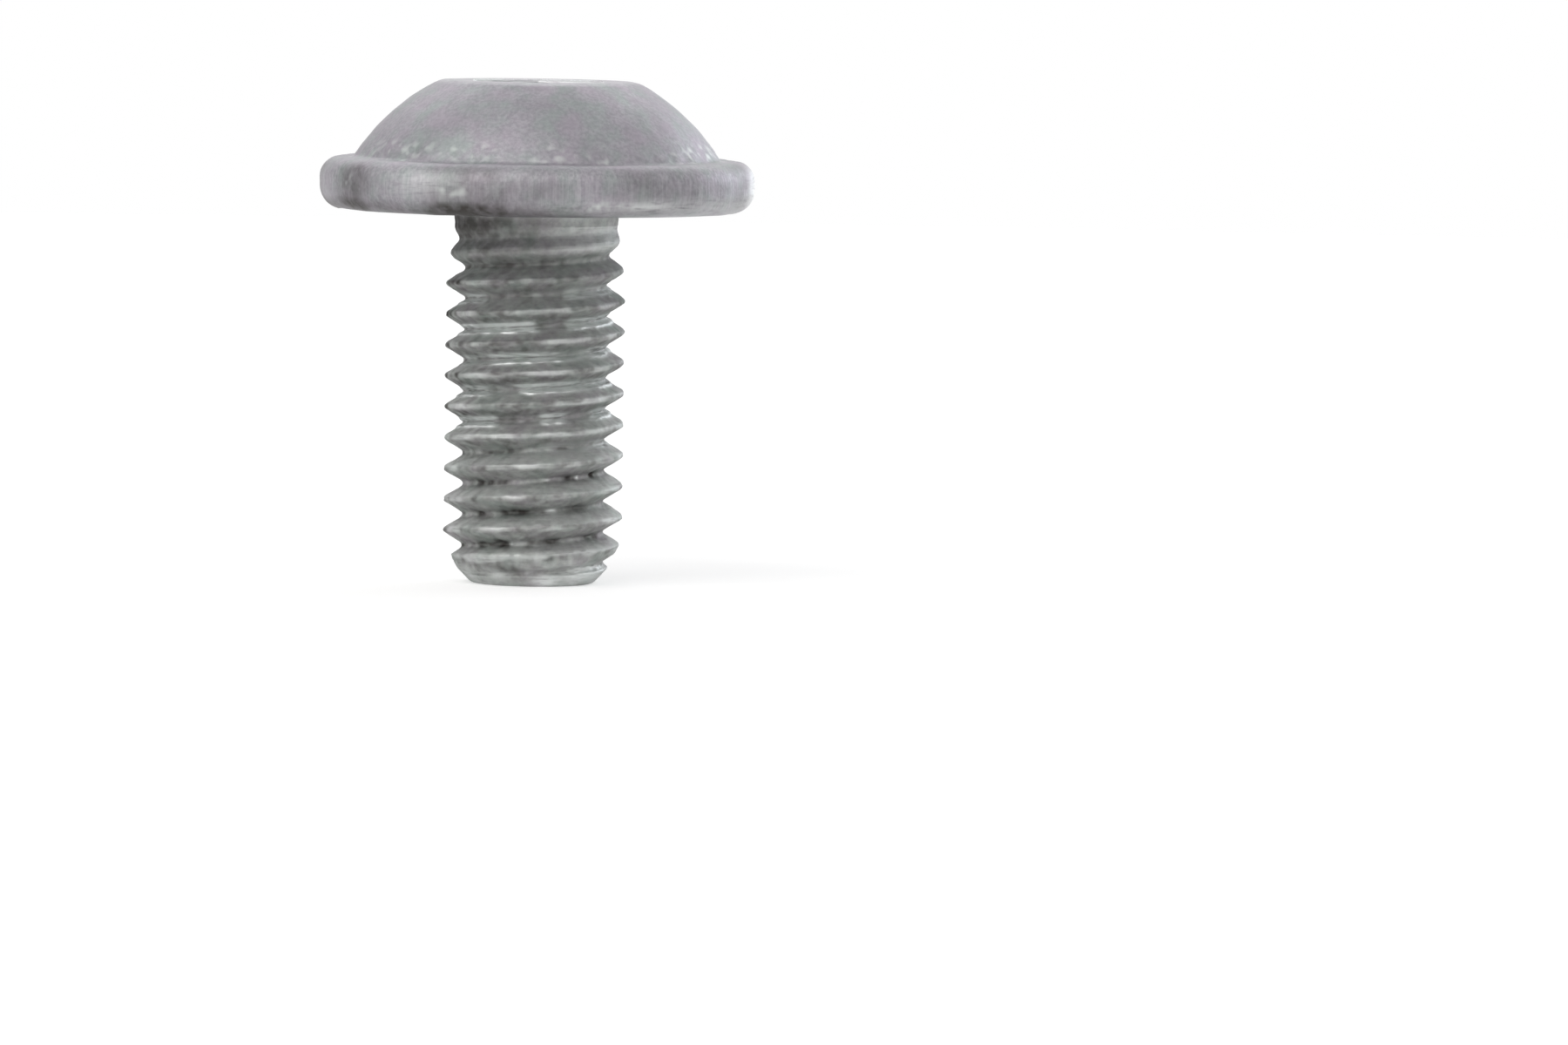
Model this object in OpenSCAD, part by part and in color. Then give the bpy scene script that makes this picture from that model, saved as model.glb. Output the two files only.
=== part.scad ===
// Flanged button-head machine screw with a hex socket, standing on its end.
// The origin is the middle of the bearing face under the flange, +Z through the head.

/* [Thread] */
// Diameter over the thread's crests
thread_d = 5.8; // [5:0.02:7.8]
// Distance from one turn of the thread to the next
thread_pitch = 1; // [0.7:0.05:1.25]
// Width of the flat on the thread's crest
crest_w = 0.125; // [0.06:0.005:0.2]
// Width of the flat at the thread's root
root_w = 0.15; // [0.1:0.005:0.25]
// Turns over which the groove fades in to its full depth
runout_turns = 1.25; // [0.5:0.25:3]
// Turns by which the crest's rise lags behind the groove
crest_lag_turns = 0.5; // [0:0.25:1]
// Direction, seen from above, in which the groove's first trace lies
thread_start_angle = 345; // [0:5:355]

/* [Shank] */
// Length from the bearing face to the end
shank_l = 12.1; // [8:0.1:20]
// Diameter of the plain neck, the blank that the thread is rolled on
neck_d = 5.3; // [4.4:0.05:5.8]
// Length of plain neck between the fillet and the middle of the groove's first trace
neck_l = 0.15; // [0.1:0.05:1.5]
// Radius of the fillet between the neck and the bearing face
fillet_r = 0.3; // [0.15:0.05:0.6]
// Diameter of the flat end
end_d = 3.95; // [2.5:0.05:4.6]
// Height of the bevel at the end, under the taper where the crests grow to full height
bevel_h = 0.48; // [0.1:0.02:0.8]

/* [Head] */
// Diameter of the flange
flange_d = 14.06; // [13:0.02:18]
// Thickness of the flange
flange_t = 1.66; // [1.5:0.02:2.6]
// Rounding of the flange's upper edge
rim_top_r = 0.65; // [0.2:0.05:0.7]
// Rounding of the flange's lower edge
rim_bottom_r = 0.7; // [0.2:0.05:0.9]
// Diameter of the dome where it meets the flange
dome_d = 11.92; // [10:0.02:12.8]
// Diameter of the flat top, measured to its edge before rounding
top_d = 6.36; // [6:0.02:8]
// Height from the bearing face to the flat top
head_h = 4.18; // [3.6:0.02:5]
// Rounding of the edge between the dome and the flat top
crown_r = 0.9; // [0.1:0.05:1]

/* [Socket] */
// Width across the flats of the hex socket
socket_af = 4; // [3:0.1:5]
// Depth of the socket's flat walls
socket_depth = 2.3; // [1.2:0.1:2.6]
// Width of the bevel at the middle of each side of the socket's mouth
socket_bevel = 0.1; // [0.02:0.01:0.3]

/* [Hidden] */
finish_colour = "#9c999e";
// Slopes of the socket's drill point and mouth, of the bevel at the shank's end and of
// the taper above it
drill_slope = 30;
bevel_slope = 45;
taper_slope = 65;
// Gap between the hex walls and the hole that was drilled before them
drill_gap = 0.05;
// Half the angle between a thread's two flanks
flank_angle = 30;
// Half the angle that one side of a hexagon takes
hex_angle = 30;
// Sides of the socket, and steps in which a circle is drawn
hex_sides = 6;
circle_steps = 144;
// Steps of one turn of the thread, and points of its section
turn_steps = 40;
section_points = 4;
// The rolled length lies this much below the neck, so that the neck ends in a clean edge
roll_step = 0.01;
// Least height of the first turn's upper flank, where the thread is only a trace
foot_rise = 0.02;
// Excess of the crown's rounding, so that its arc crosses the dome and the flat top
crown_lap = 0.0005;
// Overlap of solids that are joined, and length by which a cutter passes a face
weld = 0.3;

flange_r = flange_d / 2;
neck_r = neck_d / 2;
end_r = end_d / 2;
// The dome is part of the sphere through its foot and the edge of the flat top
dome_centre_z =
    (top_d * top_d / 4 + head_h * head_h - dome_d * dome_d / 4 - flange_t * flange_t)
        / (2 * (head_h - flange_t));
dome_r = norm([dome_d / 2, flange_t - dome_centre_z]);
crown_centre_r = sqrt(pow(dome_r - crown_r, 2) - pow(head_h - crown_r - dome_centre_z, 2));
socket_corner_r = socket_af / 2 / cos(hex_angle);
drill_r = socket_af / 2 - drill_gap;

flank_w = (thread_pitch - crest_w - root_w) / 2;
crest_r = thread_d / 2;
root_r = crest_r - flank_w / tan(flank_angle);
rolled_r = neck_r - roll_step;
// Radii of the section's points, and how far each lies below the crest's upper edge
section_r = [crest_r, crest_r, root_r, root_r];
section_drop = [0, crest_w, crest_w + flank_w, crest_w + flank_w + root_w];
section_lag = [crest_lag_turns, crest_lag_turns, 0, 0];
// Height of the crest's upper edge where the groove's first trace lies, inside the flange
thread_top_z = crest_w + flank_w + root_w / 2 - fillet_r - neck_l;
blank_top_z = max(0, thread_top_z) + weld;
thread_turns = ceil(1 + (shank_l + thread_top_z) / thread_pitch);
thread_steps = turn_steps * thread_turns;

// Share of its full height or depth that point k has after i steps: none at the neck,
// all of it along the shank, and none again past the end, where the blank is cut off
function thread_share(i, k) =
    max(0, min(
        1,
        (i / turn_steps - section_lag[k]) / runout_turns,
        (thread_steps - i) / turn_steps));

function ring_point(i, r, z) =
    let (a = thread_start_angle - 360 * i / turn_steps)
    [r * cos(a), r * sin(a), z];

// Point k of the thread's section after i steps down a right-hand helix
function thread_point(i, k) =
    ring_point(
        i,
        rolled_r + thread_share(i, k) * (section_r[k] - rolled_r),
        thread_top_z - thread_pitch * i / turn_steps - section_drop[k]);

// Where the first turn's upper flank leaves the neck, just above the crest
function flank_foot(i) =
    ring_point(
        i,
        rolled_r,
        thread_top_z - thread_pitch * i / turn_steps
            + foot_rise + thread_share(i, 0) * abs(crest_r - rolled_r) * tan(flank_angle));

// The two triangles of a face with corners a, b, c and d, clockwise from outside
function quad(a, b, c, d) = [[a, b, c], [a, c, d]];

// Triangles from one corner to each edge of a line of points
function fan(corner, line) =
    [for (n = [0 : len(line) - 2]) [corner, line[n], line[n + 1]]];

// Rolled part of the shank, as rings of points down a helix, longer than the screw
module rolled_blank() {
    n = turn_steps;
    last = thread_steps;
    tail_z = thread_point(last, section_points - 1)[2] - weld;
    points = concat(
        [for (i = [0 : n - 1]) ring_point(i, rolled_r, blank_top_z)],
        [for (i = [0 : n - 1]) flank_foot(i)],
        [for (i = [0 : last], k = [0 : section_points - 1]) thread_point(i, k)],
        [for (i = [0 : n - 1]) ring_point(i, rolled_r, tail_z)]);
    // Places in the list of the top ring, the flank's foot, the helix and the tail ring
    foot = n;
    helix = 2 * n;
    tail = helix + section_points * (last + 1);
    root = section_points - 1;
    function at(i, k) = helix + section_points * i + k;
    seam = [for (k = [root : -1 : 0]) at(0, k)];
    tail_seam = [for (k = [0 : root]) at(last, k)];
    neck_faces = [
        for (i = [0 : n - 2])
            each concat(
                quad(i + 1, i, foot + i, foot + i + 1),
                quad(foot + i + 1, foot + i, at(i, 0), at(i + 1, 0)))];
    start_faces = fan(
        foot + n - 1,
        concat([at(n - 1, 0), at(n, 0)], seam, [foot, 0, n - 1]));
    ridge_faces = [
        for (i = [0 : last - 1], k = [0 : root - 1])
            each quad(at(i + 1, k), at(i, k), at(i, k + 1), at(i + 1, k + 1))];
    next_turn_faces = [
        for (i = [0 : last - n - 1])
            each quad(at(i + 1, root), at(i, root), at(i + n, 0), at(i + n + 1, 0))];
    tail_faces = [
        for (i = [1 : n - 1])
            each quad(
                at(last - n + i + 1, root),
                at(last - n + i, root),
                tail + i,
                tail + (i + 1) % n)];
    finish_faces = fan(
        at(last - n + 1, root),
        concat([at(last - n, root)], tail_seam, [tail, tail + 1]));
    caps = [[for (i = [0 : n - 1]) i], [for (i = [n - 1 : -1 : 0]) tail + i]];
    polyhedron(
        points = points,
        faces = concat(
            caps,
            neck_faces,
            start_faces,
            ridge_faces,
            next_turn_faces,
            tail_faces,
            finish_faces));
}

// What is left of the blank after its end is cut flat, bevelled and tapered
module end_envelope() {
    bevel_r = end_r + bevel_h / tan(bevel_slope);
    bevel_z = bevel_h - shank_l;
    reach = max(crest_r, bevel_r) + weld;
    rotate_extrude($fn = circle_steps)
        polygon([
            [0, -shank_l],
            [end_r, -shank_l],
            [bevel_r, bevel_z],
            [reach, bevel_z + (reach - bevel_r) * tan(taper_slope)],
            [reach, blank_top_z + weld],
            [0, blank_top_z + weld]]);
}

module rolled_thread() {
    intersection() {
        rolled_blank();
        end_envelope();
    }
}

// Half section of the flange, with its rounded rim
module flange_section() {
    square([flange_r - rim_bottom_r, rim_bottom_r]);
    translate([0, rim_bottom_r])
        square([flange_r, flange_t - rim_bottom_r - rim_top_r]);
    translate([0, flange_t - rim_top_r])
        square([flange_r - rim_top_r, rim_top_r]);
    translate([flange_r - rim_bottom_r, rim_bottom_r])
        circle(rim_bottom_r, $fn = circle_steps);
    translate([flange_r - rim_top_r, flange_t - rim_top_r])
        circle(rim_top_r, $fn = circle_steps);
}

// What rounds the edge between the dome and the flat top takes away
module crown_waste() {
    centre = [crown_centre_r, head_h - crown_r];
    lean = atan2(crown_centre_r, centre[1] - dome_centre_z);
    reach = crown_r + weld;
    translate(centre)
        difference() {
            polygon([[0, 0], [0, reach], [reach * sin(lean), reach * cos(lean)]]);
            circle(crown_r + crown_lap, $fn = circle_steps);
        }
}

// Half section of the dome, cut off by the flat top
module dome_section() {
    difference() {
        intersection() {
            translate([0, dome_centre_z])
                circle(dome_r, $fn = circle_steps);
            translate([0, flange_t - weld])
                square([dome_r, head_h - flange_t + weld]);
        }
        crown_waste();
    }
}

// Half section of the neck and of the fillet that joins it to the bearing face
module neck_section() {
    neck_end = fillet_r + neck_l / 2;
    translate([0, -neck_end])
        square([neck_r, neck_end + weld]);
    difference() {
        translate([0, -fillet_r])
            square([neck_r + fillet_r, fillet_r + weld]);
        translate([neck_r + fillet_r, -fillet_r])
            circle(fillet_r, $fn = circle_steps);
    }
}

module head() {
    rotate_extrude($fn = circle_steps) {
        flange_section();
        dome_section();
        neck_section();
    }
}

// Hex walls with two corners fore and aft
module hex_cut() {
    translate([0, 0, head_h - socket_depth])
        rotate([0, 0, hex_angle])
            cylinder(r = socket_corner_r, h = socket_depth + weld, $fn = hex_sides);
}

// Drilled hole with its point under the hex walls
module drill_cut() {
    floor_z = head_h - socket_depth;
    rotate_extrude($fn = circle_steps)
        polygon([
            [0, floor_z - drill_r * tan(drill_slope)],
            [drill_r, floor_z],
            [drill_r, floor_z + weld],
            [0, floor_z + weld]]);
}

// Shallow cone that bevels the middle of each side of the socket's mouth
module mouth_cut() {
    mouth_r = socket_af / 2 + socket_bevel;
    above_r = mouth_r + weld / tan(drill_slope);
    rotate_extrude($fn = circle_steps)
        polygon([
            [0, head_h - mouth_r * tan(drill_slope)],
            [above_r, head_h + weld],
            [0, head_h + weld]]);
}

// The whole screw: one forged and rolled piece
module screw() {
    color(finish_colour)
        difference() {
            union() {
                head();
                rolled_thread();
            }
            hex_cut();
            drill_cut();
            mouth_cut();
        }
}

screw();
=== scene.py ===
"""Zinc-plated flanged button-head screw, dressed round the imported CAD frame.

The screw is one closed skin of rings: from the middle of its end up the rolled thread,
round the flange, over the dome and down into the hex socket.
"""
import math

import bpy
import numpy as np
from mathutils import Matrix, Vector


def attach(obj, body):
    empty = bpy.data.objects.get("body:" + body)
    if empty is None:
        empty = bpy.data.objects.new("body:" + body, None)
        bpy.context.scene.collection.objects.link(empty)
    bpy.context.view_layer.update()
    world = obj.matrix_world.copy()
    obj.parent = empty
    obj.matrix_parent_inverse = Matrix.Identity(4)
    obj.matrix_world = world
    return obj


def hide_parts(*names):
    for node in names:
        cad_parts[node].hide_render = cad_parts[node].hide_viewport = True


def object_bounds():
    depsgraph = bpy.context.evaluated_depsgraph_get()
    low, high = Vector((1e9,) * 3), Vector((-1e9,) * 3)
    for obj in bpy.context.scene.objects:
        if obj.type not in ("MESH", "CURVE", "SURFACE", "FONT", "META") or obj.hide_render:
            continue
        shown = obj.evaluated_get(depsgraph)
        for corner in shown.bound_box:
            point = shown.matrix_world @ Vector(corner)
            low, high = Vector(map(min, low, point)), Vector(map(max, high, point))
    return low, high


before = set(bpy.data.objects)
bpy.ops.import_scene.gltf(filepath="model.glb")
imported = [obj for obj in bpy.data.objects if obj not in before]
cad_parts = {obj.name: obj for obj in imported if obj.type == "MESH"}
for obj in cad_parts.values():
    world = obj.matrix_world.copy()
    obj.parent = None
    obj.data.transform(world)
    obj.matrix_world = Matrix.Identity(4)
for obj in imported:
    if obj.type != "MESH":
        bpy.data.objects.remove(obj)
cad_lo, cad_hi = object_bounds()

MM = 0.001
TURN = 2 * math.pi

# Sizes of the screw in mm, as in the part's source
END_Z = cad_lo.z / MM
TOP_Z = cad_hi.z / MM
FLANGE_R = cad_hi.x / MM
PITCH = 1.0
CREST_R = 2.9
CREST_W = 0.125
ROOT_W = 0.15
FLANK_W = (PITCH - CREST_W - ROOT_W) / 2
FLANK_SLOPE = math.tan(math.radians(60))
CREST_Z = 0.05 + PITCH * 15 / 360
ROLLED_R = 2.64
RUNOUT_TOP_Z = -0.45
ROOT_RUNOUT_L = 1.25
NECK_R = 2.65
FILLET_R = 0.3
END_R = 1.975
BEVEL_H = 0.48
TAPER_SLOPE = math.tan(math.radians(65))
FLANGE_T = 1.66
RIM_TOP_R = 0.65
RIM_BOTTOM_R = 0.7
DOME_FOOT_R = 5.96
DOME_TOP_R = 3.18
CROWN_R = 0.9
SOCKET_AF = 4.0
SOCKET_DEPTH = 2.3
DRILL_R = 1.95
DRILL_SLOPE = math.tan(math.radians(30))

# Sizes in mm that only this skin has: the crests' slower growth, roundings and a broken edge
CREST_RUNOUT_L = 1.9
THREAD_KNEE = 0.04
TAPER_KNEE = 0.05
END_ROUND = 0.3
DOME_FOOT_FILLET = 0.2
MOUTH_EDGE = 0.1

# Points round a ring: a multiple of 12, so that some lie on the hex's corners
COLUMNS = 216
ANGLE = np.arange(COLUMNS) * TURN / COLUMNS
# Rows of points from a crest to the next root, in pitches, closest where the section bends
HALF_ROWS = np.array([0, 0.03, 0.065, 0.1, 0.135, 0.2, 0.265, 0.32, 0.345, 0.37, 0.395, 0.42,
                      0.45, 0.475])
# A row nearer than this to an end of the shank is held on that end's ring, in mm
ROW_GAP = 0.001

# Values from 0 to 1 that the finish reads at each point: how much rolled, how near the rim's
# wall, how much with flecks and painted glints, with stains and painted shade, and with
# burnish and painted highlights
ZONES = ("rolled", "rim", "flecked", "stain", "worn")

# Marks on the rim, painted glints with green flecks, dark patches and painted shines: angle
# in degrees, height in mm, strength, and half length and width in mm
RIM_GLINTS = (
    (-75, 0.38, 1.0, 1.0, 0.14), (-112, 0.8, 0.8, 0.6, 0.25), (-35, 0.33, 1.0, 0.15, 0.12),
    (-150, 1.0, 0.5, 0.5, 0.2), (-8, 0.5, 0.7, 0.4, 0.15), (35, 0.7, 0.9, 0.8, 0.2),
    (75, 0.35, 0.8, 0.5, 0.14), (118, 0.9, 0.9, 0.4, 0.25), (160, 0.4, 0.7, 0.9, 0.15),
)
RIM_DARK_PATCHES = (
    (-91, 0.9, 0.3, 1.1, 0.6), (-145, 0.8, 0.3, 1.0, 0.6), (-30, 0.9, 0.25, 0.9, 0.6),
    (35, 0.9, 0.3, 1.2, 0.6), (85, 0.8, 0.25, 1.6, 0.6), (140, 0.9, 0.3, 1.0, 0.6),
)
RIM_PAINTED_SHINES = (
    (-122, 0.95, 0.28, 1.2, 0.45), (-60, 0.38, 0.4, 0.9, 0.14), (-2, 0.8, 1.0, 1.1, 0.6),
    (55, 0.9, 0.3, 1.2, 0.4), (105, 0.4, 0.4, 1.0, 0.15), (150, 0.9, 0.3, 1.0, 0.45),
)
# Painted shines and dark patches on the end's bevel, in the same way, with the height above
# the end
BEVEL_PAINTED_SHINES = (
    (-118, 0.38, 0.6, 0.4, 0.16), (-78, 0.18, 1.0, 0.4, 0.16), (-46, 0.42, 0.9, 0.6, 0.3),
    (-155, 0.35, 0.5, 0.5, 0.2), (-18, 0.4, 0.8, 0.6, 0.3), (80, 0.25, 0.9, 0.5, 0.16),
    (140, 0.4, 0.6, 0.6, 0.2),
)
BEVEL_DARK_PATCHES = (
    (-104, 0.5, 0.5, 0.6, 0.3), (-125, 0.74, 0.55, 0.5, 0.13), (15, 0.55, 0.4, 0.4, 0.2),
    (50, 0.5, 0.7, 0.5, 0.25), (110, 0.5, 0.7, 0.4, 0.2), (170, 0.55, 0.5, 0.4, 0.2),
)
# Pits in the lower roots, dented and painted dark as shade, and painted glints there: angle
# in degrees, turns below the first crest, strength and half length in mm
PITS = (
    (225, 9, 0.6, 0.4), (300, 9, 0.7, 0.3), (328, 9, 0.8, 0.4), (223, 10, 0.7, 0.35),
    (254, 10, 0.9, 0.5), (309, 10, 0.8, 0.4), (226, 11, 0.7, 0.25), (246, 11, 1.0, 0.32),
    (290, 11, 0.6, 0.35), (325, 11, 0.7, 0.4), (20, 9, 0.7, 0.4), (75, 10, 0.8, 0.45),
    (120, 9, 0.6, 0.35), (165, 10, 0.8, 0.4), (40, 11, 0.7, 0.3), (135, 11, 0.9, 0.35),
)
PAINTED_GLINTS = (
    (253, 11, 0.8, 0.07), (308, 9, 0.9, 0.06), (285, 10, 0.6, 0.2), (281, 9, 0.5, 0.12),
    (60, 10, 0.8, 0.08), (150, 9, 0.7, 0.1), (105, 11, 0.8, 0.07),
)
# How far under its crest such a mark lies in pitches, its gain and its half width in mm
ROOT_DROP, ROOT_MARK_GAIN, ROOT_MARK_W = 0.48, 1.4, 0.11
# Dents along the crests: how many, and their half width in mm
NICKS, NICK_W = 70, 0.07


def ramp(x, knee):
    """Half of x plus the root of x squared and knee squared: a line bent at zero, rounded."""
    return 0.5 * (x + np.sqrt(x * x + knee * knee))


def lesser(a, b, knee):
    """The lower of a and b with a rounded edge between them: a less the ramp of a minus b."""
    return a - ramp(a - b, knee)


def rise(x, start, stop):
    """Share that grows evenly from nought at start to one at stop, which may be the lower."""
    return np.clip((x - start) / (stop - start), 0, 1)


def bell(x, middle, half):
    """Bell curve: e to the minus square of the distance from the middle in half widths."""
    return np.exp(-(((x - middle) / half) ** 2))


def sided(angle, level, swing):
    """Share round the axis: a level plus the swing times the cosine, 1 on the photo's right."""
    return np.clip(level + swing * np.cos(angle), 0, 1)


def waves(points, length, seed, count=28):
    """Sum of sine waves of about one length in random directions, scaled to a spread of 1."""
    draw = np.random.default_rng(seed)
    heading = draw.normal(size=(count, 3))
    heading /= np.linalg.norm(heading, axis=1, keepdims=True)
    rate = TURN / (length * draw.uniform(0.75, 1.35, count))
    phase = draw.uniform(0, TURN, count)
    return np.sin(points @ (heading * rate[:, None]).T + phase).sum(-1) * math.sqrt(2 / count)


def broken(points, length, seed, level, swing, flat=1.0):
    """Share that waves break up: a level plus the swing times waves, held between 0 and 1.

    A flat above 1 presses the waves together along the axis, and below 1 draws them out.
    """
    return np.clip(level + swing * waves(points * (1, 1, flat), length, seed), 0, 1)


def place(angle, radius, z):
    """Points, or directions, at an angle round the axis, a distance from it and a height."""
    return np.stack(np.broadcast_arrays(radius * np.cos(angle), radius * np.sin(angle), z), -1)


def arc(centre_r, centre_z, radius, start, stop, steps):
    """Points on a circle of the profile, from one angle in degrees to another."""
    a = np.radians(np.linspace(start, stop, steps))
    return np.stack([centre_r + radius * np.cos(a), centre_z + radius * np.sin(a)], -1)


def line(start, stop, steps):
    """Points on a straight run of the profile, both ends left out."""
    share = np.linspace(0, 1, steps + 2)[1:-1, None]
    return (1 - share) * np.array(start) + share * np.array(stop)


def end_profile():
    """Radius and height over the flat end and its rounded corner.

    The corner is an eighth of a circle that touches the flat end and the 45 degree bevel.
    """
    flat_r = END_R - END_ROUND * math.tan(TURN / 16)
    return np.concatenate([
        line((0, END_Z), (flat_r, END_Z), 8),
        arc(flat_r, END_Z + END_ROUND, END_ROUND, -90, -45, 6),
    ])


def head_profile():
    """Radius and height from the neck over fillet, seat, rim, flange and dome to the flat top.

    The dome is the circle through its foot and the edge of the flat top. The corner at
    its foot has a small fillet, a circle that rests on the flange and on the dome.
    """
    dome_z = (DOME_TOP_R**2 + TOP_Z**2 - DOME_FOOT_R**2 - FLANGE_T**2) / 2 / (TOP_Z - FLANGE_T)
    dome_r = math.hypot(DOME_FOOT_R, FLANGE_T - dome_z)
    crown_z = TOP_Z - CROWN_R
    crown_c = math.sqrt((dome_r - CROWN_R) ** 2 - (crown_z - dome_z) ** 2)
    crown_lean = math.degrees(math.atan2(crown_z - dome_z, crown_c))
    foot_z = FLANGE_T + DOME_FOOT_FILLET
    foot_c = math.sqrt((dome_r + DOME_FOOT_FILLET) ** 2 - (foot_z - dome_z) ** 2)
    foot_lean = math.degrees(math.atan2(foot_z - dome_z, foot_c))
    fillet_c = NECK_R + FILLET_R
    rim_bottom_c = FLANGE_R - RIM_BOTTOM_R
    rim_top_c = FLANGE_R - RIM_TOP_R
    return np.concatenate([
        line((ROLLED_R, RUNOUT_TOP_Z), (NECK_R, -FILLET_R), 2),
        arc(fillet_c, -FILLET_R, FILLET_R, 180, 90, 8),
        line((fillet_c, 0), (rim_bottom_c, 0), 5),
        arc(rim_bottom_c, RIM_BOTTOM_R, RIM_BOTTOM_R, -90, 0, 11),
        line((FLANGE_R, RIM_BOTTOM_R), (FLANGE_R, FLANGE_T - RIM_TOP_R), 2),
        arc(rim_top_c, FLANGE_T - RIM_TOP_R, RIM_TOP_R, 0, 90, 11),
        line((rim_top_c, FLANGE_T), (foot_c, FLANGE_T), 2),
        arc(foot_c, foot_z, DOME_FOOT_FILLET, 270, 180 + foot_lean, 6),
        arc(0, dome_z, dome_r, foot_lean, crown_lean, 26)[1:-1],
        arc(crown_c, crown_z, CROWN_R, crown_lean, 90, 10),
    ])


def socket_rings():
    """Rings of the hex socket: the mouth's broken edge, flat walls, floor and drill point.

    A hex with flats at half its width from the axis lies, at each angle, at that half
    width over the cosine of the angle from the nearest flat's middle. The mouth's edge is
    broken at 45 degrees all round, and rings close to an edge keep it crisp.
    """
    from_flat = (ANGLE + TURN / 12) % (TURN / 6) - TURN / 12
    hex_r = SOCKET_AF / 2 / np.cos(from_flat)
    mouth_r = hex_r + MOUTH_EDGE
    lip_z = TOP_Z - MOUTH_EDGE
    floor_z = TOP_Z - SOCKET_DEPTH
    rings = [
        (mouth_r + 0.2, TOP_Z), (mouth_r + 0.03, TOP_Z), (mouth_r, TOP_Z - 0.002), (hex_r, lip_z),
        *((hex_r, z) for z in np.linspace(lip_z - 0.01, floor_z + 0.03, 8)),
        (hex_r - 0.01, floor_z + 0.008), (hex_r - 0.03, floor_z), (DRILL_R, floor_z - 0.004),
        *((DRILL_R * share, floor_z - DRILL_R * (1 - share) * DRILL_SLOPE)
          for share in (0.985, 0.8, 0.55, 0.3, 0.1)),
    ]
    return np.stack([place(ANGLE, r, z) for r, z in rings])


def shank_radius(angle, z):
    """Radius of the rolled shank, height above the nearest crest in mm, and share of relief.

    Height less the crest's height at that angle, in pitches, is a whole number on every
    crest. The distance to the nearest crest gives the section: a flat crest, a flank that
    falls at 60 degrees, a flat root, with rounded knees. The relief grows out of the neck,
    faster in the root than on the crest. Two cones cut the thread off at its end, a steep
    taper and the 45 degree bevel.
    """
    turns = (z - CREST_Z) / PITCH - angle / TURN
    above = (turns - np.round(turns)) * PITCH
    # Distance past the crest's edge, here and in the crest's middle, where the drop is nought
    past = np.stack([np.abs(above), np.zeros_like(above)]) - CREST_W / 2
    drop = ramp(past, THREAD_KNEE) - ramp(past - FLANK_W, THREAD_KNEE)
    over = CREST_R - (drop[0] - drop[1]) * FLANK_SLOPE - ROLLED_R
    run = np.where(over > 0, CREST_RUNOUT_L, ROOT_RUNOUT_L)
    relief = rise(RUNOUT_TOP_Z - z, 0, run)
    rolled = ROLLED_R + relief * over
    height = z - END_Z
    taper = END_R + BEVEL_H + (height - BEVEL_H) / TAPER_SLOPE
    bevel = END_R + height
    return lesser(lesser(rolled, taper, TAPER_KNEE), bevel, TAPER_KNEE), above, relief


def crest_height(degrees, turn):
    """Height in mm of the crest at an angle, so many turns below the first."""
    return CREST_Z + PITCH * (degrees / 360 - turn)


def bells(angle, z, radius, places):
    """Sum of bells on a round wall of that radius, each with its angle in degrees, its height
    on the wall, and its strength, half length and half width."""
    total = 0
    for at_angle, at_z, strength, length, width in places:
        off = ((angle - math.radians(at_angle) + math.pi) % TURN - math.pi) * radius
        total = total + strength * bell(off, 0, length) * bell(z, at_z, width)
    return total


def root_places(marks):
    """Marks in the roots as bells, each in the middle of the root under its turn of the crest."""
    return [(at, crest_height(at, turn + ROOT_DROP), ROOT_MARK_GAIN * strength, length, ROOT_MARK_W)
            for at, turn, strength, length in marks]


def nick_places():
    """Small dents at random along the crest, as bells."""
    draw = np.random.default_rng(11)
    at, turn = draw.uniform(0, 360, NICKS), draw.integers(2, 12, NICKS)
    depth, length = draw.uniform(0.015, 0.05, NICKS), draw.uniform(0.08, 0.3, NICKS)
    return np.stack([at, crest_height(at, turn), depth, length, np.full(NICKS, NICK_W)], -1)


def neck_painted_shade(angle, z):
    """Share of painted shade under the head: falls off down the first two turns, none on the right.
    """
    return rise(z, -2.025, -0.525) * np.minimum(sided(angle, 0.37, -0.8), 0.85)


def bevel_patches_and_light(angle, z):
    """Shares of dark patches and of painted light on the end and its bevel: marks on the bevel,
    and a thinner painted light all over that waves of about a millimetre break up."""
    height = z - END_Z
    near = rise(height, 0.95, 0.7)
    patches = broken(place(angle, END_R, z), 1.2, 14, 0.4, 0.5)
    worn = 0.05 + 0.2 * patches + bells(angle, height, END_R, BEVEL_PAINTED_SHINES)
    stain = near * np.clip(bells(angle, height, END_R, BEVEL_DARK_PATCHES), 0, 1)
    return stain, near * np.clip(worn, 0, 1) * (1 - stain)


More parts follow.
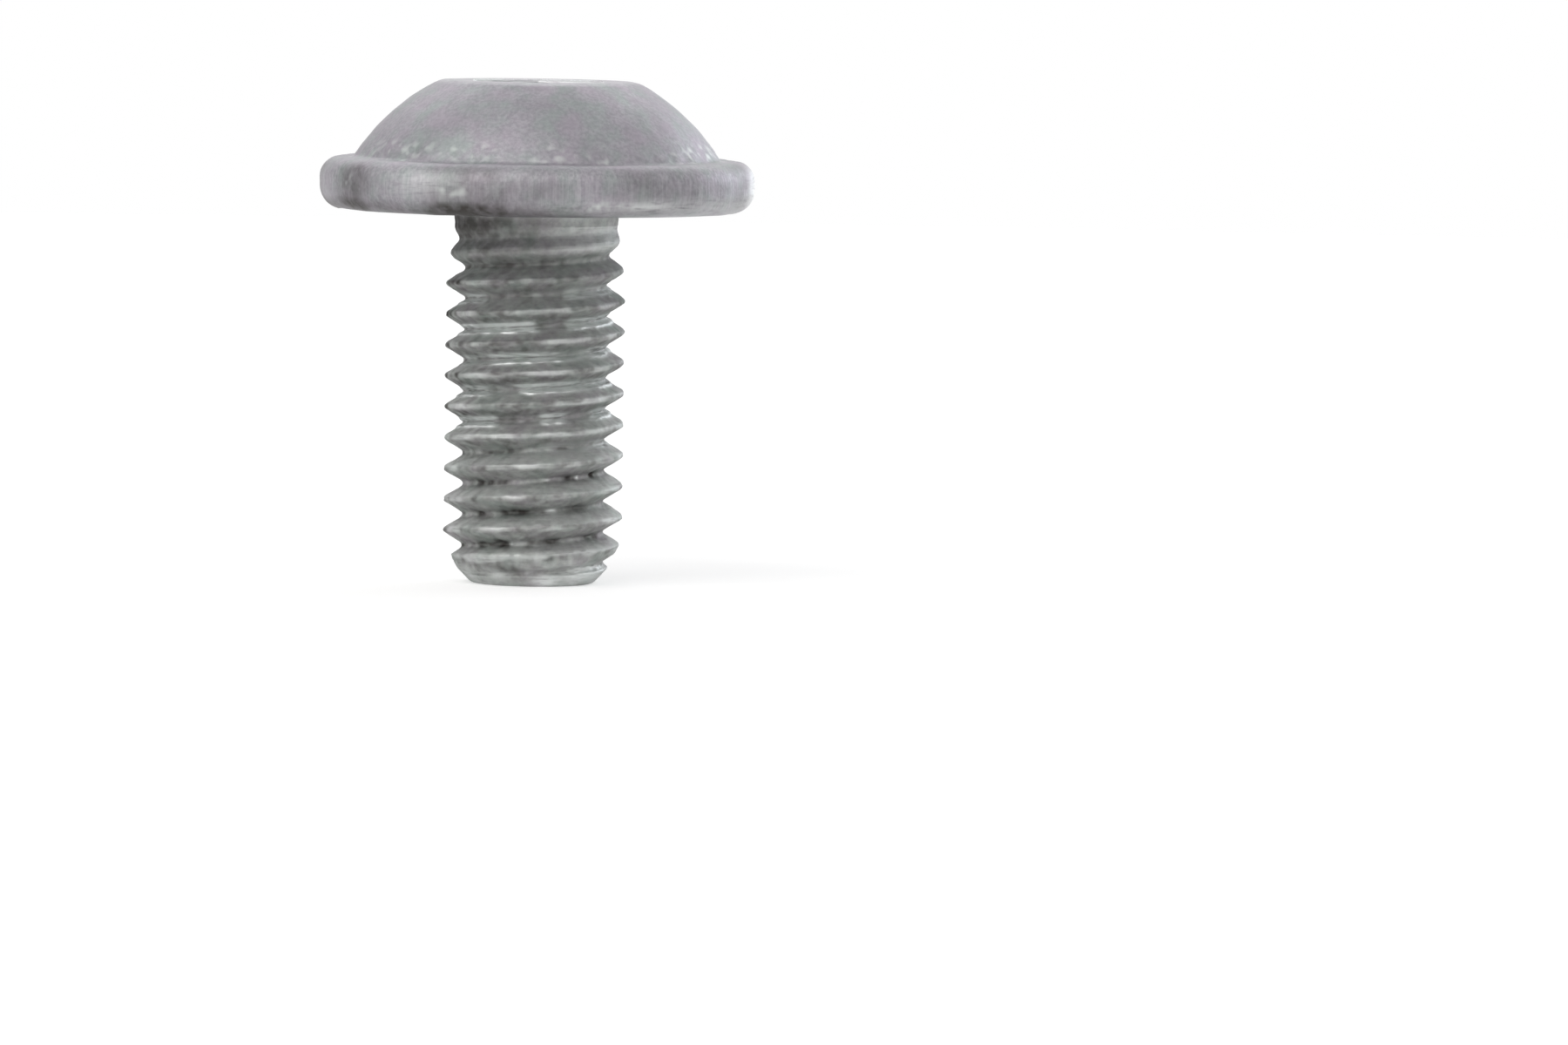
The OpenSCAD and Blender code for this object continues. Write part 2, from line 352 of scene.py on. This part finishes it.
def shank_wear_and_shading(points, angle, z, above, relief):
    """Unevenness outwards in mm, and shares of stains with painted shade and of burnish with
    painted light, on the rolled surface.

    Short waves all over; a broken seam along the crest, where the metal rolled up from both
    sides meets; two ridges beside the root from the die's edges; nicks along the crests,
    and pits in the lower roots, painted dark as shade in them, with painted glints. Burnish
    and painted highlights lighten the crests, in runs that waves of a millimetre or two break
    up; painted highlights lighten the ridges, the root's sides and the upper flanks, most in
    the lower turns, and the right of the neck. Painted shade darkens the neck under the head,
    the lower flanks, the crests between the runs and in the first turn, and the roots, in
    patches in the lower turns, more on the left, with a fine random mottling all over.
    """
    across = np.abs(above)
    # Along the shank: the first turn, the lower thread and the end
    first = rise(z, -2.2, -1.4)
    low = rise(z, -7, -7.8)
    near_end = rise(z, END_Z + 0.9, END_Z)
    # Across the section: crest, the flanks over and under it, the root and its two sides
    crest = rise(across, 0.128, 0.048)
    upper = rise(above, 0.02, 0.1) * rise(above, 0.46, 0.31)
    under = rise(above, -0.1, -0.16) * rise(above, -0.42, -0.32)
    root = rise(across, 0.4, 0.46)
    beside = rise(across, 0.28, 0.34) * rise(across, 0.48, 0.42)
    # What breaks them up: length of the waves in mm, seed, level, swing and flatness
    breaks = broken(points, 1.3, 9, 0.25, 0.9, 1.6)
    runs = np.maximum(broken(points, 1.7, 15, 0.8, 0.9, 0.6), 0.1)
    blots = broken(points, 0.55, 10, 0.5, 0.8)
    patches = broken(points, 1.5, 16, 0.6, 0.9, 1.3)
    mottle = broken(points, 0.36, 17, 0.4, 0.7, 0.5)
    seam = broken(points, 1.6, 7, 0.5, 1.0, 2.5)
    # Single marks
    runs = runs * rise(z, -1.8, -3.3) * (1 - low)
    ridge = runs * (2 * bell(above, 0.38, 0.07) + bell(above, -0.42, 0.06))
    # Pits are dented, and painted dark as the shade in them
    pitted = np.clip(bells(angle, z, ROLLED_R, root_places(PITS)), 0, 1)
    # Painted glints in the lower roots
    painted_glint = bells(angle, z, ROLLED_R, root_places(PAINTED_GLINTS))

    marks = 0.008 * waves(points, 0.7, 4) + 0.008 * waves(points, 0.3, 5)
    marks = marks + near_end * 0.02 * waves(points, 0.9, 6) + 0.05 * ridge - 0.06 * pitted
    marks = marks - bells(angle, z, CREST_R, nick_places()) - 0.022 * seam * bell(across, 0, 0.03)

    # Painted shade on the lower flanks, in the roots, on the crests between runs and in the first
    # turn, with a random mottle
    painted_shade_and_mottle = (1 - low) * under * (0.18 + 0.18 * blots) * (1 - 0.6 * rise(z, -3, -2))
    painted_shade_and_mottle = painted_shade_and_mottle + root * (0.3 * (1 - low) + 0.15 * rise(z, -4, -2.5) + 0.65 * low * patches)
    painted_shade_and_mottle = painted_shade_and_mottle + crest * (0.5 - 0.2 * low - 0.2 * first) * (1 - breaks * (1 - first))
    painted_shade_and_mottle = painted_shade_and_mottle + 0.22 * mottle
    # Painted shade under the head, and on the thread, stronger on the left
    stain = neck_painted_shade(angle, z) * (1 - 0.5 * relief) + relief * painted_shade_and_mottle * (1 - 0.35 * np.cos(angle))

    # Painted light on the right of the neck
    painted_neck_light = rise(z, -1.5, -1.2) * sided(angle, -0.05, 1.0)
    # Burnish and painted highlights on the crests; painted highlights on the upper flanks, ridges
    # and root sides, and painted glints
    worn = 0.43 * rise(z, -1.5, -5.5) * crest * breaks + (0.1 + 0.2 * low) * upper
    worn = relief * (worn + 1.4 * ridge + 0.4 * beside * runs + painted_glint) + 0.55 * painted_neck_light
    end_dark_patches, end_painted_light = bevel_patches_and_light(angle, z)
    return marks, np.clip(stain + pitted + end_dark_patches, 0, 1), np.clip(worn + end_painted_light, 0, 1)


class Skin:
    """Points, triangles and point values of the closed skin, added ring by ring."""

    def __init__(self):
        self.points, self.faces, self.values, self.size = [], [], [], 0

    def add(self, points, **values):
        """Adds an array of points with their values and returns their numbers in its shape."""
        shape = points.shape[:-1]
        count = int(np.prod(shape))
        numbers = np.arange(self.size, self.size + count).reshape(shape)
        self.size += count
        self.points.append(points.reshape(-1, 3))
        row = [np.broadcast_to(values.get(name, 0.0), shape).ravel() for name in ZONES]
        self.values.append(np.stack(row, -1))
        return numbers

    def join(self, grid):
        """Two triangles for each cell of a grid of numbers, empty ones left out."""
        a, b, c, d = grid[:-1, :-1], grid[:-1, 1:], grid[1:, 1:], grid[1:, :-1]
        both = np.concatenate([np.stack([a, b, c], -1), np.stack([a, c, d], -1)]).reshape(-1, 3)
        live = (both[:, 0] != both[:, 1]) & (both[:, 1] != both[:, 2]) & (both[:, 2] != both[:, 0])
        self.faces.append(both[live])

    def wrap(self, rings):
        """Joins rings of numbers, each closed on itself."""
        self.join(np.concatenate([rings, rings[:, :1]], 1))

    def pole(self, z):
        """A ring drawn together in one point on the axis."""
        return np.broadcast_to(self.add(np.array([[0, 0, z]])), (1, COLUMNS))


def add_end(skin):
    """Rings of the flat end, its rounded corner and the foot of its bevel."""
    profile = end_profile()
    foot_z = np.linspace(profile[-1, 1], END_Z + END_ROUND, 5)[1:-1, None]
    points = np.concatenate([place(ANGLE, profile[:, :1], profile[:, 1:]),
                             place(ANGLE, shank_radius(ANGLE, foot_z)[0], foot_z)])
    stain, worn = bevel_patches_and_light(ANGLE, points[..., 2])
    return skin.add(points, rolled=1.0, stain=stain, worn=worn)


def add_shank(skin):
    """Helix rows of the rolled shank between a ring on the bevel and a ring on the neck.

    A row's height is its place in the pitch plus the pitch times the angle's share of a
    turn, so rows run along crest and root. Where a row would pass an end it is held on
    that end's ring. After one turn a row meets the row one pitch higher.
    """
    low_z = END_Z + END_ROUND
    stain, worn = bevel_patches_and_light(ANGLE, low_z)
    low_ring = skin.add(place(ANGLE, shank_radius(ANGLE, low_z)[0], low_z), rolled=1.0,
                        stain=stain, worn=worn)
    # The neck's ring carries the painted shade under the head
    high_ring = skin.add(place(ANGLE, ROLLED_R, RUNOUT_TOP_Z), rolled=1.0,
                         stain=neck_painted_shade(ANGLE, RUNOUT_TOP_Z))
    cell = np.concatenate([-HALF_ROWS[:0:-1], HALF_ROWS, [0.5]])
    first = math.floor((END_Z - CREST_Z) / PITCH) - 1
    last = math.ceil((RUNOUT_TOP_Z - CREST_Z) / PITCH) + 1
    row_z = (np.arange(first, last)[:, None] + cell).ravel() * PITCH + CREST_Z
    z = row_z[:, None] + PITCH * ANGLE / TURN
    angle = np.broadcast_to(ANGLE, z.shape)
    column = np.broadcast_to(np.arange(COLUMNS), z.shape)
    too_low, too_high = z <= low_z + ROW_GAP, z >= RUNOUT_TOP_Z - ROW_GAP
    inside = ~(too_low | too_high)
    angle_in, z_in = angle[inside], z[inside]
    radius, above_crest, relief = shank_radius(angle_in, z_in)
    marks, stain, worn = shank_wear_and_shading(place(angle_in, radius, z_in), angle_in, z_in, above_crest,
                                    relief)
    radius = radius + marks * relief * rise(z_in, low_z, low_z + 0.15)
    numbers = np.empty(z.shape, int)
    numbers[too_low] = low_ring[column[too_low]]
    numbers[too_high] = high_ring[column[too_high]]
    numbers[inside] = skin.add(place(angle_in, radius, z_in), rolled=1.0, flecked=0.4 * relief,
                               stain=stain, worn=worn)
    turn_on = np.concatenate([numbers[len(cell):, :1], np.full((len(cell), 1), high_ring[0])])
    skin.join(np.concatenate([numbers, turn_on], 1))
    return low_ring, high_ring


def add_head(skin):
    """Rings from the neck to the flat top, roughened along the profile's own normal.

    The normal is the profile's direction turned by a right angle. Forging leaves long soft
    waves all over and a ragged corner at the dome's foot; seat and flat top stay true.
    Painted shade darkens the neck under the head and the left of the rim's lower edge, with
    random dark patches on the rim's wall; light specks along the dome's foot and on the rim are
    painted glints among green flecks, and painted highlights lighten the rim's lower right and
    spots on its wall. The flat top is a little lighter.
    """
    profile = head_profile()
    r, z = profile[:, :1], profile[:, 1:]
    along = np.gradient(profile, axis=0)
    normal = np.stack([along[:, 1], -along[:, 0]], -1)
    normal /= np.linalg.norm(normal, axis=1, keepdims=True)
    points = place(ANGLE, r, z)
    outward = place(ANGLE, normal[:, :1], normal[:, 1:])

    true_face = (np.abs(z) < 0.001) | (z > TOP_Z - 0.01)
    corner = bell(r, DOME_FOOT_R - 0.12, 0.3) * bell(z, FLANGE_T + 0.15, 0.3)
    rough = 0.004 * waves(points, 0.8, 1) + 0.008 * waves(points, 2.4, 2)
    rough = rough * np.where(true_face, 0.1, 1) + corner * 0.01 * waves(points, 0.6, 3)
    # The first rings grow out of the smooth neck
    rough *= rise(np.arange(len(profile))[:, None], 0, 4)

    rim = rise(FLANGE_R - r, 0.52, 0.12)
    outer = rise(r, 5.5, 6.1)
    neck = rise(r, NECK_R + FILLET_R, NECK_R) * (z < 0)
    patches = broken(points, 3.2, 8, 0.25, 0.5, 0.4)
    # Painted shade on the left of the rim's lower edge, and on the neck under the head
    under = outer * rise(z, 0.5, 0.15) * sided(ANGLE, 0.9, -1.3)
    stain = neck * neck_painted_shade(ANGLE, z) + under * (0.6 + 0.4 * patches) + 0.45 * rim * patches
    stain = stain + rim * bells(ANGLE, z, FLANGE_R, RIM_DARK_PATCHES)
    # Painted glints: light specks along the dome's foot and on the rim, among green flecks
    foot_glint_band = bell(z, FLANGE_T + 0.25, 0.35) * (r < DOME_FOOT_R + 0.2)
    flecked = foot_glint_band * np.minimum(broken(points, 2.6, 12, 0.55, 0.4), 0.75)
    flecked = flecked + rim * bells(ANGLE, z, FLANGE_R, RIM_GLINTS)
    # Painted highlights on the rim's lower right and on spots of its wall; the flat top a little
    # lighter
    worn = 0.3 * outer * rise(z, 0.75, 0.35) * sided(ANGLE, 0.2, 0.9)
    worn = worn + rim * bells(ANGLE, z, FLANGE_R, RIM_PAINTED_SHINES)
    worn = worn + 0.15 * rise(z, TOP_Z - 0.1, TOP_Z)
    return skin.add(points + outward * rough[..., None], rim=rim, rolled=neck,
                    flecked=np.clip(flecked, 0, 1), stain=np.clip(stain, 0, 1), worn=worn)


def add_socket(skin):
    """Rings of the hex socket, with painted light on its walls. The first two lie on the flat top
    and are as light as it is.
    """
    rings = socket_rings()
    # Painted light on the socket's walls
    worn = np.where(np.arange(len(rings)) < 2, 0.15, 0.6)
    return skin.add(rings, worn=worn[:, None])


def build_screw():
    """The whole skin: pole, end, shank, head, socket and pole."""
    skin = Skin()
    end = add_end(skin)
    low_ring, high_ring = add_shank(skin)
    head = add_head(skin)
    socket = add_socket(skin)
    skin.wrap(np.concatenate([skin.pole(END_Z), end, low_ring[None]]))
    tip_z = TOP_Z - SOCKET_DEPTH - DRILL_R * DRILL_SLOPE
    skin.wrap(np.concatenate([high_ring[None], head, socket, skin.pole(tip_z)]))
    mesh = bpy.data.meshes.new("zinc_screw")
    mesh.from_pydata(np.concatenate(skin.points) * MM, [], np.concatenate(skin.faces))
    for name, column in zip(ZONES, np.concatenate(skin.values).T):
        mesh.attributes.new(name, "FLOAT", "POINT").data.foreach_set(
            "value", np.ascontiguousarray(column, dtype=np.float32))
    mesh.shade_smooth()
    mesh.set_sharp_from_angle(angle=math.radians(50))
    piece = bpy.data.objects.new("zinc_screw", mesh)
    bpy.context.scene.collection.objects.link(piece)
    return piece


def linear(code):
    """Linear colour of an sRGB hex value: the lower part a straight line, the rest a power."""
    part = np.array([int(code[n:n + 2], 16) for n in (1, 3, 5)]) / 255
    part = np.where(part <= 0.04045, part / 12.92, ((part + 0.055) / 1.055) ** 2.4)
    return (*part.tolist(), 1.0)


def node(tree, kind, sockets=None, **settings):
    """Adds a node with its settings, and fills its sockets with values or with links."""
    made = tree.nodes.new(kind)
    for name, value in settings.items():
        setattr(made, name, value)
    for key, value in (sockets or {}).items():
        if isinstance(value, bpy.types.NodeSocket):
            tree.links.new(value, made.inputs[key])
        else:
            made.inputs[key].default_value = value
    return made


def new_tree(name):
    """A material of that name with an empty node tree."""
    material = bpy.data.materials.new(name)
    material.use_nodes = True
    material.node_tree.nodes.clear()
    return material, material.node_tree


def zinc_plate():
    """Electroplated zinc on forged and rolled steel.

    The plate is a grey metal of low lustre with a fine crystal grain and a faint green and violet
    tint. Forging leaves soft clouds on the head and upright marks on the rim. The rolled
    shank is lighter and less purple, with streaks of burnish and painted highlight. Painted
    shade darkens the plate where shade falls, among real stains, and light specks at the
    dome's foot and on the rim are painted glints among green flecks.
    """
    material, tree = new_tree("zinc_plated_steel")
    here = node(tree, "ShaderNodeTexCoord").outputs["Object"]
    upright = node(tree, "ShaderNodeMapping", {"Vector": here, "Scale": (1, 1, 0.06)}).outputs[0]
    around = node(tree, "ShaderNodeMapping", {"Vector": here, "Scale": (0.1, 0.1, 1)}).outputs[0]
    # Coordinates, size in mm and detail of each pattern; the crystals are finer than 0.1 mm
    # and are drawn as coarse as a view shows
    patterns = {
        "grain": (here, 0.12, 2),
        "clouds": (here, 2.2, 3),
        "upright": (upright, 0.09, 2),
        "streak": (around, 0.08, 2),
        "blots": (here, 0.5, 2),
        "specks": (here, 0.27, 0),
        "tints": (here, 0.9, 2),
    }
    noise = {}
    for name, (vector, size, detail) in patterns.items():
        noise[name] = node(tree, "ShaderNodeTexNoise", {
            "Vector": vector, "Scale": 1 / (size * MM), "Detail": detail,
            "Roughness": 0.55}).outputs["Fac"]
    zone = {name: node(tree, "ShaderNodeAttribute", attribute_name=name).outputs["Fac"]
            for name in ZONES}
    plate = linear("#a19fa4")
    # Where the layer lies, the pattern that breaks it up and between which of its levels,
    # how much it covers at most, and its colour
    layers = (
        (1.0, "clouds", 0.3, 0.7, 0.4, "#838185"),
        (1.0, "blots", 0.35, 0.65, 0.2, "#7b797f"),
        (1.0, "grain", 0.35, 0.65, 0.5, "#7b797f"),
        (zone["rolled"], "grain", 0.0, 0.6, 0.85, "#bfc1be"),
        (zone["rolled"], "blots", 0.42, 0.62, 0.3, "#787974"),
        (1.0, "tints", 0.5, 0.68, 0.35, "#8a9a92"),
        (1.0, "tints", 0.5, 0.32, 0.3, "#9f929f"),
        (zone["rim"], "upright", 0.4, 0.65, 0.22, "#c4c2c5"),
        # Real stains and painted shade, dark
        (zone["stain"], "blots", -0.1, 0.6, 1.0, "#44413f"),
        # Burnish and painted highlights, light
        (zone["worn"], "streak", 0.25, 0.5, 0.85, "#e1e4e3"),
        # Green flecks, and light specks that are painted glints
        (zone["flecked"], "blots", 0.52, 0.3, 0.5, "#6a766f"),
        (zone["flecked"], "specks", 0.5, 0.82, 0.75, "#d3d8d4"),
    )
    for where, pattern, low, high, most, colour in layers:
        share = node(tree, "ShaderNodeMapRange", {
            "Value": noise[pattern], "From Min": low, "From Max": high, "To Max": most})
        share = node(tree, "ShaderNodeMath", {
            0: where, 1: share.outputs[0]}, operation="MULTIPLY")
        plate = node(tree, "ShaderNodeMix", {
            0: share.outputs[0], 6: plate, 7: linear(colour)}, data_type="RGBA").outputs[2]
    # The rolled shank is duller than the head, and spots with burnish and painted light are
    # smoother
    rough = node(tree, "ShaderNodeMapRange", {
        "Value": zone["rolled"], "To Min": 0.52, "To Max": 0.7}).outputs[0]
    polish = node(tree, "ShaderNodeMath", {0: zone["worn"], 1: 0.2}, operation="MULTIPLY")
    rough = node(tree, "ShaderNodeMath", {
        0: rough, 1: polish.outputs[0]}, operation="SUBTRACT").outputs[0]
    # Depths in mm of the grain, the rim's marks and the die's streaks
    relief = None
    for where, pattern, depth in ((0.8, "grain", 0.008), (zone["rim"], "upright", 0.008),
                                  (zone["rolled"], "streak", 0.007)):
        sockets = {"Height": noise[pattern], "Strength": where, "Distance": depth * MM}
        if relief:
            sockets["Normal"] = relief
        relief = node(tree, "ShaderNodeBump", sockets).outputs[0]
    # The rolled surface mirrors less at a glancing view than the shader's default metal
    edge = node(tree, "ShaderNodeMix", {
        0: zone["rolled"], 6: linear("#ffffff"), 7: linear("#8c8c8c")},
        data_type="RGBA").outputs[2]
    shader = node(tree, "ShaderNodeBsdfPrincipled", {
        "Base Color": plate, "Metallic": 1.0, "Roughness": rough, "Normal": relief,
        "Specular Tint": edge})
    node(tree, "ShaderNodeOutputMaterial", {"Surface": shader.outputs[0]})
    return material


def seen(tree):
    """One on rays from the camera and on mirrored or passed ones, else nought."""
    path = node(tree, "ShaderNodeLightPath").outputs
    either = node(tree, "ShaderNodeMath", {
        0: path["Is Camera Ray"], 1: path["Is Glossy Ray"]}, operation="MAXIMUM").outputs[0]
    return node(tree, "ShaderNodeMath", {
        0: either, 1: path["Is Transmission Ray"]}, operation="MAXIMUM").outputs[0]


def lay_floor():
    """A round pale floor just under the screw's end, with a glow that lifts it to white."""
    radius_m, gap_mm, corners, glow_level = 0.3, 0.005, 96, 0.42
    material, tree = new_tree("white_paper")
    paper = node(tree, "ShaderNodeBsdfDiffuse", {"Color": linear("#e8e8e8")})
    strength = node(tree, "ShaderNodeMath", {0: seen(tree), 1: glow_level}, operation="MULTIPLY")
    glow = node(tree, "ShaderNodeEmission", {
        "Color": linear("#ffffff"), "Strength": strength.outputs[0]})
    both = node(tree, "ShaderNodeAddShader", {0: paper.outputs[0], 1: glow.outputs[0]})
    node(tree, "ShaderNodeOutputMaterial", {"Surface": both.outputs[0]})
    around = np.linspace(0, TURN, corners, endpoint=False)
    mesh = bpy.data.meshes.new("floor")
    mesh.from_pydata(place(around, radius_m, (END_Z - gap_mm) * MM), [], [list(range(corners))])
    mesh.materials.append(material)
    floor = bpy.data.objects.new("floor", mesh)
    bpy.context.scene.collection.objects.link(floor)


def light_studio():
    """A white surround and three soft lamps: key from the upper left, fill right, top behind."""
    world = bpy.data.worlds.new("white_studio")
    bpy.context.scene.world = world
    world.use_nodes = True
    tree = world.node_tree
    tree.nodes.clear()
    level = node(tree, "ShaderNodeMapRange", {
        "Value": seen(tree), "To Min": 0.45, "To Max": 1.0}).outputs["Result"]
    sky = node(tree, "ShaderNodeBackground", {"Color": linear("#ffffff"), "Strength": level})
    node(tree, "ShaderNodeOutputWorld", {"Surface": sky.outputs[0]})
    middle = Vector((0, 0, -0.003))
    # Name, place, width and height in m, watts and colour
    lamps = (
        ("key_lamp", (-0.24, -0.32, 0.34), 0.60, 0.60, 1.4, "#fffdfa"),
        ("side_lamp", (0.32, 0.28, 0.07), 0.30, 0.30, 0.65, "#f2f7ff"),
        ("back_lamp", (0.0, 0.42, 0.38), 0.70, 0.25, 0.7, "#ffffff"),
    )
    for name, place_m, wide, high, watts, colour in lamps:
        data = bpy.data.lights.new(name, "AREA")
        data.shape = "RECTANGLE"
        data.size = wide
        data.size_y = high
        data.energy = watts
        data.color = linear(colour)[:3]
        lamp = bpy.data.objects.new(name, data)
        lamp.location = place_m
        lamp.rotation_euler = (middle - lamp.location).to_track_quat("-Z", "Y").to_euler()
        bpy.context.scene.collection.objects.link(lamp)


def set_camera():
    """The photograph's view: a third of a metre off, slightly above, screw at the upper left."""
    # In mm, with the width of the frame at the screw, and the roll in degrees
    away, height, aim_x, aim_z = 340, 13, 8.165, -10.035
    frame_w, roll = 50.77, 0.9
    data = bpy.data.cameras.new("camera")
    data.sensor_width = 36
    data.lens = data.sensor_width * away / frame_w
    data.clip_start, data.clip_end = 0.01, 20
    camera = bpy.data.objects.new("camera", data)
    eye = Vector((0, -away, height)) * MM
    aim = Vector((aim_x, 0, aim_z)) * MM
    turn = (aim - eye).to_track_quat("-Z", "Y").to_matrix()
    turn = turn @ Matrix.Rotation(math.radians(roll), 3, "Z")
    camera.matrix_world = Matrix.Translation(eye) @ turn.to_4x4()
    bpy.context.scene.collection.objects.link(camera)
    bpy.context.scene.camera = camera


screw = build_screw()
screw.data.materials.append(zinc_plate())
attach(screw, "root")
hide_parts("screw")

lay_floor()
light_studio()
set_camera()
bpy.context.scene.view_settings.view_transform = "Standard"
